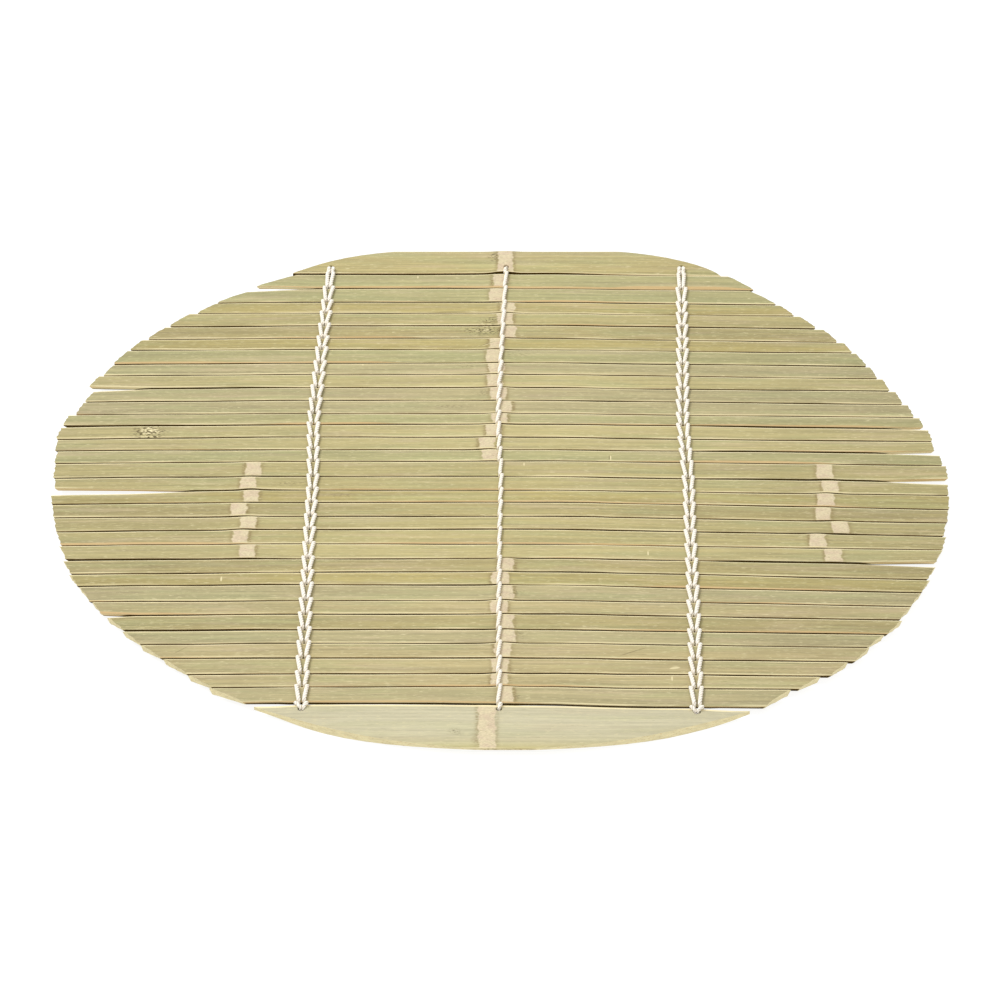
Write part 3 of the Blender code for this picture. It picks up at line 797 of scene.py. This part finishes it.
def make_slat(piece):
    (near_x, near_y), (far_x, far_y) = long_edges(piece)

    def near_line(x):
        edge = fanned(piece, x, np.interp(x, near_x, near_y))
        return edge + seam_drift(piece, x) - seam_closing(piece, x)

    def far_line(x):
        edge = fanned(piece - 1, x, np.interp(x, far_x, far_y))
        return edge + seam_drift(piece - 1, x) + seam_closing(piece - 1, x)

    def kept_out(x, y, line):
        """X that leaves an end's corner as far from the mat's centre once its edge has moved."""
        return math.copysign(math.sqrt(x ** 2 + y ** 2 - line(np.array(x)) ** 2), x)

    left = [kept_out(near_x[0], near_y[0], near_line), kept_out(far_x[0], far_y[0], far_line)]
    right = [kept_out(near_x[-1], near_y[-1], near_line), kept_out(far_x[-1], far_y[-1], far_line)]
    right[1] += FAR_CORNER * float(np.clip(far_y[-1] / 100.0, 0.0, 1.0))
    right[1] += FIRST_CORNER * (piece == 1)
    for ends, side, corner in ((left, -1, cad_box[0]), (right, 1, cad_box[1])):
        limit = side * corner[0] / MM - BOX_MARGIN
        for row, trim in enumerate(END_TRIMS.get((piece, side), (0.0, 0.0))):
            ends[row] = side * min(side * ends[row] + trim, limit)
    wide = SEAM_Y[piece - 1] - SEAM_Y[piece]
    near_edge = np.array([0.0, 0.07, 0.18, 0.4, 0.85]) / wide
    shares = np.concatenate([near_edge, [0.26, 0.38, 0.5, 0.62, 0.74], (1 - near_edge)[::-1]])
    along = stations(piece, (left[0] + left[1]) / 2, (right[0] + right[1]) / 2)
    along = (along - along[0]) / (along[-1] - along[0])
    rng = np.random.default_rng(500 + piece)
    sink = 0.02 + 0.1 * rng.random()
    phase = rng.uniform(0, 6.3, 3)

    def place(share):
        start = left[0] + (left[1] - left[0]) * share
        stop = right[0] + (right[1] - right[0]) * share
        x = start[None, :] + (stop - start)[None, :] * along[:, None]
        near = near_line(x) + 0.03 * np.sin(x / 7.3 + phase[0])
        far = far_line(x) + 0.03 * np.sin(x / 8.9 + phase[1])
        y = near + (far - near) * share[None, :]
        return x, y, (far - near)[:, len(share) // 2]

    def top(x, y):
        share = np.array(shares)[None, :]
        inset = np.minimum(share, 1 - share) * wide
        rounding = 0.3 * np.clip(1 - inset / 0.75, 0, 1) ** 2.4
        culm = 0.12 * (2 * share - 1) ** 2
        swell = 0.14 * node_lift(piece, x)
        return SLAT_TOP - sink - rounding - culm + swell + 0.02 * np.sin(x / 5.1 + phase[2])

    def bottom(x, y):
        share = np.array(shares)[None, :]
        inset = np.minimum(share, 1 - share) * wide
        rounding = 0.12 * np.clip(1 - inset / 0.4, 0, 1) ** 2
        return SLAT_BOTTOM + rounding - 0.12 * node_lift(piece, x) + 0.03 * np.sin(x / 6.3 + phase[1])

    make_plank(piece, shares, place, top, bottom, SLAT_UNDERCUT, SKIN, INNER, SLAT_CHIPS)


def make_slab(piece, inner, width, slide, radius, top, bottom, top_finish, low_finish, hole_y):
    """End slab between its inner edge and the round outline, with its cord holes."""
    towards = 1 if piece == 0 else -1
    insets = np.array([0.0, 0.1, 0.28, 0.6, 1.2, 2.2, 3.6, 5.2, 7.0, 8.8])
    insets = np.concatenate([insets[insets < width / 2], (width - insets[insets < width / 2])[::-1]])
    rows_y = (inner + towards * insets)[::towards]
    shares = (rows_y - rows_y[0]) / (rows_y[-1] - rows_y[0])
    half = np.sqrt(radius ** 2 - rows_y ** 2)
    along = stations(piece, slide - half.mean(), slide + half.mean())
    along = (along - along[0]) / (along[-1] - along[0])
    fade_length, cut = (FAR_FADE, 0.0) if piece == 0 else (NEAR_FADE, TIP_CUT)

    def place(share):
        fade = np.clip(1 - np.abs(rows_y - inner) / fade_length, 0, 1)[None, :]
        x = (slide - half)[None, :] + (2 * half - cut * fade) * along[:, None]
        y = rows_y[None, :] + slab_drift(piece, x) * fade
        return x, y, np.full(len(along), width)

    slab = make_plank(piece, shares, place, top, bottom, 0.0, top_finish, low_finish, SLAB_CHIPS)
    bore_holes(slab, hole_y)
    points = np.array([v.co for v in slab.data.vertices]) / MM
    drift = towards * slab_drift(piece, points[:, 0])
    inset = towards * (points[:, 1] - inner)
    inset = np.where(inset < fade_length, (inset - drift) / (1 - drift / fade_length), inset)
    share = np.clip((inner + towards * inset - rows_y[0]) / (rows_y[-1] - rows_y[0]), 0.0, 1.0)
    depth = np.maximum(points[:, 2].max() - SLAT_EDGE_DROP - points[:, 2], 0.0)
    write_attributes(slab.data, wood_marks(piece, points, share, depth, np.full(len(points), width)))


def slab_drift(piece, x):
    """How far a slab's inner edge has moved from its straight line."""
    if piece == 0:
        return seam_drift(0, x)
    return seam_drift(SLAT_COUNT, x) - TIP_DROOP * smooth_step((np.abs(x) - 46.0) / 14.0)


def near_hole_y(tie):
    """Y of a cord hole in the near slab, which keeps its distance from the slab's inner edge."""
    fade = 1 - (NEAR_INNER - NEAR_HOLE_Y) / NEAR_FADE
    return NEAR_HOLE_Y + fade * float(slab_drift(LAST, np.array(tie_x(tie, NEAR_HOLE_Y))))


def bore_holes(slab, hole_y):
    """Cuts the three cord holes."""
    mesh = bmesh.new()
    mesh.from_mesh(slab.data)
    bmesh.ops.triangulate(mesh, faces=mesh.faces[:])
    mesh.to_mesh(slab.data)
    mesh.free()
    sides = HOLE_SIDES
    turns = [2 * math.pi * n / sides for n in range(sides)]
    for tie in (-1, 0, 1):
        radius = OUTER_HOLE_RADIUS if tie else CENTRE_HOLE_RADIUS
        centre = (tie_x(tie, hole_y), near_hole_y(tie) if hole_y < 0 else hole_y)
        ring = [(centre[0] + radius * math.cos(t), centre[1] + radius * math.sin(t)) for t in turns]
        points = [(x * MM, y * MM, z * MM) for z in (-2.0, 8.0) for x, y in ring]
        faces = [(n, (n + 1) % sides, sides + (n + 1) % sides, sides + n) for n in range(sides)]
        faces += [tuple(range(sides))[::-1], tuple(range(sides, 2 * sides))]
        mesh = bpy.data.meshes.new("bore")
        mesh.from_pydata(points, [], faces)
        cutter = bpy.data.objects.new("bore", mesh)
        bpy.context.scene.collection.objects.link(cutter)
        modifier = slab.modifiers.new("bore", "BOOLEAN")
        modifier.operation = "DIFFERENCE"
        modifier.solver = "EXACT"
        modifier.object = cutter
        bpy.context.view_layer.objects.active = slab
        bpy.ops.object.modifier_apply(modifier="bore")
        bpy.data.objects.remove(cutter, do_unlink=True)


def tie_x(tie, y):
    share = np.asarray(y) / RADIUS
    shares, strays = np.array(TIE_STRAY)[::-1].T
    bowed = TIE_SPACING + TIE_BOW * (1 - share ** 2)
    return tie * bowed + np.interp(share, shares, strays)


def far_top(y):
    share = (y - FAR_INNER) / FAR_SLAB_WIDTH
    return SLAT_BOTTOM + FAR_SLAB_EDGE + FAR_SLAB_CROWN * (1 - (2 * share - 1) ** 2)


def make_far_slab():
    def top(x, y):
        inset = np.minimum(y - FAR_INNER, FAR_INNER + FAR_SLAB_WIDTH - y)
        rounding = 0.35 * np.clip(1 - inset / 0.8, 0, 1) ** 2.2
        return far_top(y) - 0.03 - rounding + 0.3 * node_lift(0, x)

    def bottom(x, y):
        inset = np.minimum(y - FAR_INNER, FAR_INNER + FAR_SLAB_WIDTH - y)
        return SLAT_BOTTOM + 0.12 * np.clip(1 - inset / 0.5, 0, 1) ** 2 + 0 * x

    make_slab(
        0, FAR_INNER, FAR_SLAB_WIDTH, FAR_SLAB_SLIDE, FAR_SLAB_RADIUS, top, bottom, SKIN, INNER,
        FAR_HOLE_Y,
    )


def make_near_slab():
    fine = np.linspace(0, NEAR_SLAB_WIDTH, 60)
    padded = np.pad(np.interp(fine, *np.array(BELLY).T), 3, mode="edge")
    level = np.maximum(np.convolve(padded, np.ones(7) / 7, mode="valid"), 0.0)

    def top(x, y):
        outward = 0.2 * np.clip(1 - (y - (NEAR_INNER - NEAR_SLAB_WIDTH)) / 0.5, 0, 1) ** 2.2
        rounding = outward + 0.05 * np.clip(1 - (NEAR_INNER - y) / 0.3, 0, 1)
        return NEAR_SLAB_TOP - rounding + 0.12 * node_lift(LAST, x)

    def bottom(x, y):
        return np.interp(NEAR_INNER - y, fine, level)

    make_slab(
        LAST, NEAR_INNER, NEAR_SLAB_WIDTH, NEAR_SLAB_SLIDE, NEAR_SLAB_RADIUS, top, bottom, INNER, SKIN,
        NEAR_HOLE_Y,
    )


# Cords

def soft_curve(route, samples):
    """Evenly sampled smooth curve through rows of values; the first three are the place."""
    route = np.array(route, float)
    full = np.vstack([2 * route[0] - route[1], route, 2 * route[-1] - route[-2]])
    out = []
    for a, b, c, d in zip(full, full[1:], full[2:], full[3:]):
        for t in np.linspace(0, 1, 12, endpoint=False):
            out.append(
                0.5 * (2 * b + (c - a) * t + (2 * a - 5 * b + 4 * c - d) * t ** 2
                       + (3 * b - a - 3 * c + d) * t ** 3)
            )
    out = np.array(out + [route[-1]])
    run = np.concatenate([[0], np.cumsum(np.linalg.norm(np.diff(out[:, :3], axis=0), axis=1))])
    even = np.linspace(0, run[-1], samples)
    return np.stack([np.interp(even, run, out[:, k]) for k in range(out.shape[1])], -1), even


def strand(route, samples, sides, turn=0.0, level=False):
    """Twisted tube along a route of rows (x, y, z, half width, half thickness).

    Its width lies along x, or with level it lies flat, for a route that may run any way but upwards.
    """
    line, run = soft_curve(route, samples)
    centre = line[:, :3]
    forward = np.gradient(centre, axis=0)
    forward /= np.linalg.norm(forward, axis=1)[:, None]
    if level:
        across = np.cross(forward, np.array([0.0, 0.0, 1.0]))
    else:
        across = np.array([1.0, 0.0, 0.0]) - forward * forward[:, :1]
    across /= np.linalg.norm(across, axis=1)[:, None]
    normal = np.cross(across, forward) if level else np.cross(forward, across)
    own = 2 * math.pi * np.arange(sides) / sides
    groove = ((1 - np.cos(PLIES * own)) / 2) ** 2
    radius = 1 - PLY_GROOVE * groove
    angle = own[None, :] + (2 * math.pi * run / PLY_PITCH)[:, None] + turn
    out = (radius * np.cos(angle) * line[:, 3:4])[..., None] * across[:, None, :]
    up = (radius * np.sin(angle) * line[:, 4:5])[..., None] * normal[:, None, :]
    points = (centre[:, None, :] + out + up).reshape(-1, 3)
    faces = []
    for i in range(samples - 1):
        a, b = i * sides, (i + 1) * sides
        for k in range(sides):
            m = (k + 1) % sides
            faces.append((a + k, b + k, b + m, a + m) if level else (a + k, a + m, b + m, b + k))
    first, last = tuple(range(sides)), tuple(range((samples - 1) * sides, samples * sides))
    faces += [first, last[::-1]] if level else [first[::-1], last]
    along = np.repeat(run, sides) + TURN_STEP * turn
    places = np.stack([along, np.tile(own, samples) * 0.5, np.zeros(samples * sides)], -1)
    return points, faces, places, np.tile(groove, samples)


def crossing_x(cord, seam, rising):
    tie, rise, dive, place = PAIRS[cord]
    if seam == 0 and tie:
        rise = math.copysign(FIRST_OUTER, place)
    number = list(PAIRS).index(cord)
    stray = 0.11 * math.sin(12.9 * seam + 4.1 * number + (1.3 if rising else 0.0))
    return tie_x(tie, SEAM_Y[seam]) + (rise if rising else dive) + stray


def crossing_y(seam, x):
    return SEAM_Y[seam] + float(seam_drift(seam, np.array(x)))


def stitch(cord, piece, over, rows, mirrored):
    """Route of a stitch from the far seam to the near one.

    Each row starts with its share of the way. The mirrored rows follow in reverse, for its other end.
    """
    start_x = crossing_x(cord, piece - 1, over)
    stop_x = crossing_x(cord, piece, not over)
    start_y = crossing_y(piece - 1, start_x)
    length = start_y - crossing_y(piece, stop_x)
    rows = rows + [(1 - share, *rest) for share, *rest in mirrored[::-1]]
    return [(start_x + (stop_x - start_x) * s, start_y - length * s, *rest) for s, *rest in rows]


def over_route(cord, piece):
    """From the far seam up over a slat and down into the near seam."""
    top = SLAT_TOP + CORD_HALF_HEIGHT + 0.03
    wide = CORD_HALF_WIDTH * (1.0 if PAIRS[cord][0] else 0.9)
    rows = [
        (0.0, AXIS_Z, *IN_SEAM),
        (0.0, SLAT_TOP - 0.25, *SEAM_MOUTH),
        (0.03, SLAT_TOP + 0.28, wide * 0.95, CORD_HALF_HEIGHT * 0.85),
        (0.16, top, wide, CORD_HALF_HEIGHT),
        (0.5, top + 0.06, wide * 1.03, CORD_HALF_HEIGHT),
    ]
    return stitch(cord, piece, True, rows, rows[:-1])


def under_route(cord, piece):
    """From the far seam down under a slat and up into the near seam."""
    rows = [
        (0.0, AXIS_Z, *IN_SEAM),
        (0.0, SLAT_BOTTOM + 0.1, *SEAM_MOUTH),
        (0.05, SLAT_BOTTOM - 0.32, CORD_HALF_WIDTH, CORD_HALF_HEIGHT * 0.85),
        (0.2, CORD_HALF_HEIGHT + 0.05, *LYING),
    ]
    return stitch(cord, piece, False, rows, rows)


def fold_route(cord):
    """From seam 0 over the far slab, down its hole and back under it to seam 0."""
    tie, _, _, place = PAIRS[cord]
    x_in = crossing_x(cord, 0, False)
    x_out = crossing_x(cord, 0, True)
    y_in = crossing_y(0, x_in)
    y_out = crossing_y(0, x_out)
    hole_x = tie_x(tie, FAR_HOLE_Y) + place
    spread = hole_x + 0.12 * np.sign(place)
    return [
        (x_in, y_in, AXIS_Z, *IN_SEAM),
        (x_in, y_in, 2.6, *SEAM_MOUTH),
        (x_in, y_in + 0.2, far_top(y_in + 0.6) + 0.2, *BENT),
        (x_in * 0.6 + spread * 0.4, y_in + 1.0, far_top(y_in + 1.2) + CORD_HALF_HEIGHT, *LYING),
        (spread, FAR_HOLE_Y - 1.4, far_top(FAR_HOLE_Y) + CORD_HALF_HEIGHT, *LYING),
        (hole_x, FAR_HOLE_Y - 0.3, far_top(FAR_HOLE_Y) + 0.02, 0.44, 0.42),
        (hole_x, FAR_HOLE_Y - 0.15, 2.2, 0.4, 0.4),
        (hole_x, FAR_HOLE_Y - 0.1, 1.0, 0.42, 0.42),
        (hole_x, FAR_HOLE_Y - 0.8, 0.54, *LYING),
        (x_out, y_out + 0.7, 0.54, *LYING),
        (x_out, y_out + 0.1, SLAT_BOTTOM - 0.3, *BENT),
        (x_out, y_out, SLAT_BOTTOM + 0.1, *SEAM_MOUTH),
        (x_out, y_out, AXIS_Z, *IN_SEAM),
    ]


def top_end_route(cord):
    """From the last seam over the near slab's edge and down its hole."""
    tie, _, _, place = PAIRS[cord]
    x = crossing_x(cord, SLAT_COUNT, True)
    y = crossing_y(SLAT_COUNT, x)
    hole_x = tie_x(tie, NEAR_HOLE_Y) + 0.8 * place - 0.15 * tie
    hole_y = near_hole_y(tie) + 0.15
    return [
        (x, y, AXIS_Z, *IN_SEAM),
        (x, y, AXIS_Z + 0.4, *SEAM_MOUTH),
        (x, y - 0.35, NEAR_SLAB_TOP + 0.75, *BENT),
        ((x + hole_x) / 2, (y + hole_y) / 2, NEAR_SLAB_TOP + CORD_HALF_HEIGHT, *LYING),
        (hole_x, hole_y + 0.15, NEAR_SLAB_TOP + 0.15, 0.42, CORD_HALF_HEIGHT * 0.9),
        (hole_x, hole_y, NEAR_SLAB_TOP - 0.5, 0.4, 0.38),
        (hole_x, hole_y + 0.15, 1.2, 0.44, 0.4),
        (hole_x, hole_y + 0.2, 0.75, 0.44, 0.4),
    ]


def low_end_route(cord):
    """From the last seam under the near slab's edge to the knot."""
    tie, _, dive, _ = PAIRS[cord]
    x = crossing_x(cord, SLAT_COUNT, False)
    y = crossing_y(SLAT_COUNT, x)
    knot_x = tie_x(tie, NEAR_HOLE_Y) + dive
    return [
        (x, y, AXIS_Z, *IN_SEAM),
        (x, y, SLAT_BOTTOM + 0.1, *SEAM_MOUTH),
        (x, y - 0.2, 0.75, CORD_HALF_WIDTH, CORD_HALF_HEIGHT * 0.85),
        (knot_x, y - 0.8, 0.54, *LYING),
        (knot_x, near_hole_y(tie) + 0.9, 0.5, 0.46, 0.42),
    ]


def make_cords(piece):
    """All that the five cords lay over and under one wooden piece, up to its hinge lines."""
    parts = []
    for number, cord in enumerate(PAIRS):
        turn = 1.7 * piece + 2.1 * number
        if piece == 0:
            parts.append(strand(fold_route(cord), 72, 15, turn))
        elif piece == LAST:
            parts.append(strand(top_end_route(cord), 34, 15, turn))
            parts.append(strand(low_end_route(cord), 24, 12, turn))
        else:
            parts.append(strand(over_route(cord, piece), 34, 15, turn))
            parts.append(strand(under_route(cord, piece), 24, 12, turn + 1.0))
    add_cotton(f"cotton_{piece:02d}", parts, body_name(piece), list(PAIRS))


def add_cotton(name, parts, body, replaced):
    points, loops, places, grooves = zip(*parts)
    faces = []
    first = 0
    for part, part_loops in zip(points, loops):
        faces += [tuple(first + k for k in loop) for loop in part_loops]
        first += len(part)
    attributes = {"grain": np.vstack(places), "groove": np.concatenate(grooves)}
    add_piece(
        name, np.vstack(points), faces, [COTTON], [0] * len(faces), attributes, body,
        replaced,
    )


def make_knots():
    """The three knots under the near slab, each with two tails."""
    for tie, label in ((-1, "left"), (0, "centre"), (1, "right")):
        size = 1.0 if tie else 0.75
        x, y = tie_x(tie, NEAR_HOLE_Y), near_hole_y(tie)
        route = [
            (
                x + size * 0.44 * (math.sin(t) + 2 * math.sin(2 * t)),
                y + size * 0.3 * (math.cos(t) - 2 * math.cos(2 * t)),
                0.66 - 0.24 * math.sin(3 * t),
                *KNOTTED,
            )
            for t in [2 * math.pi * n / 24 for n in range(25)]
        ]
        parts = [strand(route, 90, 12, level=True)]
        for side in (-1, 1):
            tail = [
                (
                    x + side * (0.7 + 3.4 * t) * size,
                    y + side * 0.5 * math.sin(2.0 * t),
                    0.46 + 0.05 * math.sin(5 * t),
                    0.36 + 0.12 * t ** 6,
                    0.34 + 0.04 * t ** 6,
                )
                for t in [n / 6 for n in range(7)]
            ]
            parts.append(strand(tail, 26, 12, level=True))
        add_cotton(f"cotton_knot_{label}", parts, body_name(LAST), [f"knot_{label}"])


make_camera()
make_stage()
make_far_slab()
for slat in range(1, SLAT_COUNT + 1):
    make_slat(slat)
make_near_slab()
for wooden in range(LAST + 1):
    make_cords(wooden)
make_knots()
